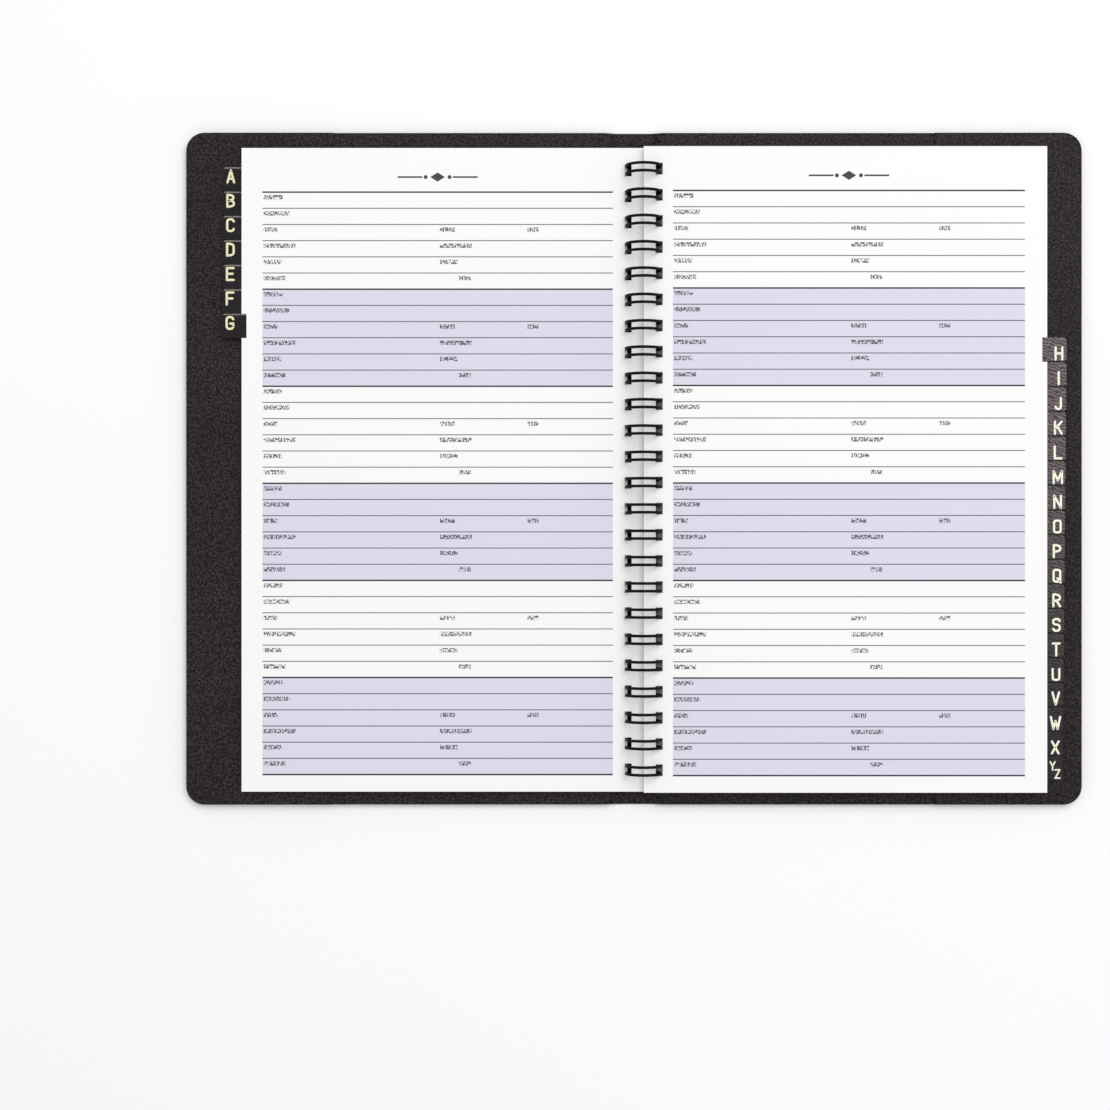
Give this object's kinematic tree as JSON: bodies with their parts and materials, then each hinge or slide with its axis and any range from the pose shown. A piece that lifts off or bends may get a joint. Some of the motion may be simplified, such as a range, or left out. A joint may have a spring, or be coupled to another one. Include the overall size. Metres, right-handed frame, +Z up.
{
  "type": "address book",
  "caption": "Address book with a black twin-loop wire binding, lettered index tabs and a soft leatherette cover that folds shut.",
  "frame": {"origin": "on the table, under the middle of the open cover", "axes": "+X across the open book to the right, +Y along the spine to the head of the pages, +Z up"},
  "size_m": [0.2924, 0.2196, 0.0127],
  "materials": {
    "cover_skin": "grained leatherette, semi-matt",
    "lining": "fine-grained vinyl",
    "board": "grey board",
    "card": "smooth white card",
    "wire": "black coated steel, semi-gloss",
    "page": "smooth white paper",
    "tab": "black ribbed film, satin"
  },
  "bodies": {
    "back_cover": {"back_cover_skin": "cover_skin", "back_board": "board", "back_lining": "lining", "back_card": "card", "spine_strip": "cover_skin", "binding_wire": "wire"},
    "front_cover": {"front_cover_skin": "cover_skin", "front_board": "board", "front_lining": "lining"},
    "fly_leaf": {"fly_leaf": "page"},
    "section_a": {"section_a": "page", "tab_a": "tab"},
    "section_b": {"section_b": "page", "tab_b": "tab"},
    "section_c": {"section_c": "page", "tab_c": "tab"},
    "section_d": {"section_d": "page", "tab_d": "tab"},
    "section_e": {"section_e": "page", "tab_e": "tab"},
    "section_f": {"section_f": "page", "tab_f": "tab"},
    "section_g": {"section_g": "page", "tab_g": "tab"},
    "section_h": {"section_h": "page", "tab_h": "tab"},
    "section_i": {"section_i": "page", "tab_i": "tab"},
    "section_j": {"section_j": "page", "tab_j": "tab"},
    "section_k": {"section_k": "page", "tab_k": "tab"},
    "section_l": {"section_l": "page", "tab_l": "tab"},
    "section_m": {"section_m": "page", "tab_m": "tab"},
    "section_n": {"section_n": "page", "tab_n": "tab"},
    "section_o": {"section_o": "page", "tab_o": "tab"},
    "section_p": {"section_p": "page", "tab_p": "tab"},
    "section_q": {"section_q": "page", "tab_q": "tab"},
    "section_r": {"section_r": "page", "tab_r": "tab"},
    "section_s": {"section_s": "page", "tab_s": "tab"},
    "section_t": {"section_t": "page", "tab_t": "tab"},
    "section_u": {"section_u": "page", "tab_u": "tab"},
    "section_v": {"section_v": "page", "tab_v": "tab"},
    "section_w": {"section_w": "page", "tab_w": "tab"},
    "section_x": {"section_x": "page", "tab_x": "tab"},
    "section_yz": {"section_yz": "page", "tab_yz": "tab"}
  },
  "joints": [
    {"name": "front_cover_turn", "type": "hinge", "parent": "back_cover", "child": "front_cover", "pos_m": [0, 0, 0.0067], "axis": [0, 1, 0], "range_deg": [0, 180], "deforming": ["spine_strip"]},
    {"name": "fly_leaf_turn", "type": "hinge", "parent": "back_cover", "child": "fly_leaf", "pos_m": [0.0029, 0, 0.0067], "axis": [0, 1, 0], "range_deg": [0, 180]},
    {"name": "section_a_turn", "type": "hinge", "parent": "fly_leaf", "child": "section_a", "pos_m": [0.0029, 0, 0.0067], "axis": [0, -1, 0], "range_deg": [-180, 0]},
    {"name": "section_b_turn", "type": "hinge", "parent": "section_a", "child": "section_b", "pos_m": [0.0029, 0, 0.0067], "axis": [0, -1, 0], "range_deg": [-180, 0]},
    {"name": "section_c_turn", "type": "hinge", "parent": "section_b", "child": "section_c", "pos_m": [0.0029, 0, 0.0067], "axis": [0, -1, 0], "range_deg": [-180, 0]},
    {"name": "section_d_turn", "type": "hinge", "parent": "section_c", "child": "section_d", "pos_m": [0.0029, 0, 0.0067], "axis": [0, -1, 0], "range_deg": [-180, 0]},
    {"name": "section_e_turn", "type": "hinge", "parent": "section_d", "child": "section_e", "pos_m": [0.0029, 0, 0.0067], "axis": [0, -1, 0], "range_deg": [-180, 0]},
    {"name": "section_f_turn", "type": "hinge", "parent": "section_e", "child": "section_f", "pos_m": [0.0029, 0, 0.0067], "axis": [0, -1, 0], "range_deg": [-180, 0]},
    {"name": "section_g_turn", "type": "hinge", "parent": "section_f", "child": "section_g", "pos_m": [0.0029, 0, 0.0067], "axis": [0, -1, 0], "range_deg": [-180, 0]},
    {"name": "section_yz_turn", "type": "hinge", "parent": "back_cover", "child": "section_yz", "pos_m": [0.0029, 0, 0.0067], "axis": [0, 1, 0], "range_deg": [-180, 0]},
    {"name": "section_x_turn", "type": "hinge", "parent": "section_yz", "child": "section_x", "pos_m": [0.0029, 0, 0.0067], "axis": [0, 1, 0], "range_deg": [-180, 0]},
    {"name": "section_w_turn", "type": "hinge", "parent": "section_x", "child": "section_w", "pos_m": [0.0029, 0, 0.0067], "axis": [0, 1, 0], "range_deg": [-180, 0]},
    {"name": "section_v_turn", "type": "hinge", "parent": "section_w", "child": "section_v", "pos_m": [0.0029, 0, 0.0067], "axis": [0, 1, 0], "range_deg": [-180, 0]},
    {"name": "section_u_turn", "type": "hinge", "parent": "section_v", "child": "section_u", "pos_m": [0.0029, 0, 0.0067], "axis": [0, 1, 0], "range_deg": [-180, 0]},
    {"name": "section_t_turn", "type": "hinge", "parent": "section_u", "child": "section_t", "pos_m": [0.0029, 0, 0.0067], "axis": [0, 1, 0], "range_deg": [-180, 0]},
    {"name": "section_s_turn", "type": "hinge", "parent": "section_t", "child": "section_s", "pos_m": [0.0029, 0, 0.0067], "axis": [0, 1, 0], "range_deg": [-180, 0]},
    {"name": "section_r_turn", "type": "hinge", "parent": "section_s", "child": "section_r", "pos_m": [0.0029, 0, 0.0067], "axis": [0, 1, 0], "range_deg": [-180, 0]},
    {"name": "section_q_turn", "type": "hinge", "parent": "section_r", "child": "section_q", "pos_m": [0.0029, 0, 0.0067], "axis": [0, 1, 0], "range_deg": [-180, 0]},
    {"name": "section_p_turn", "type": "hinge", "parent": "section_q", "child": "section_p", "pos_m": [0.0029, 0, 0.0067], "axis": [0, 1, 0], "range_deg": [-180, 0]},
    {"name": "section_o_turn", "type": "hinge", "parent": "section_p", "child": "section_o", "pos_m": [0.0029, 0, 0.0067], "axis": [0, 1, 0], "range_deg": [-180, 0]},
    {"name": "section_n_turn", "type": "hinge", "parent": "section_o", "child": "section_n", "pos_m": [0.0029, 0, 0.0067], "axis": [0, 1, 0], "range_deg": [-180, 0]},
    {"name": "section_m_turn", "type": "hinge", "parent": "section_n", "child": "section_m", "pos_m": [0.0029, 0, 0.0067], "axis": [0, 1, 0], "range_deg": [-180, 0]},
    {"name": "section_l_turn", "type": "hinge", "parent": "section_m", "child": "section_l", "pos_m": [0.0029, 0, 0.0067], "axis": [0, 1, 0], "range_deg": [-180, 0]},
    {"name": "section_k_turn", "type": "hinge", "parent": "section_l", "child": "section_k", "pos_m": [0.0029, 0, 0.0067], "axis": [0, 1, 0], "range_deg": [-180, 0]},
    {"name": "section_j_turn", "type": "hinge", "parent": "section_k", "child": "section_j", "pos_m": [0.0029, 0, 0.0067], "axis": [0, 1, 0], "range_deg": [-180, 0]},
    {"name": "section_i_turn", "type": "hinge", "parent": "section_j", "child": "section_i", "pos_m": [0.0029, 0, 0.0067], "axis": [0, 1, 0], "range_deg": [-180, 0]},
    {"name": "section_h_turn", "type": "hinge", "parent": "section_i", "child": "section_h", "pos_m": [0.0029, 0, 0.0067], "axis": [0, 1, 0], "range_deg": [-180, 0]}
  ],
  "couplings": [
    {"joint": "fly_leaf_turn", "follows": "front_cover_turn", "ratio": 1}
  ]
}
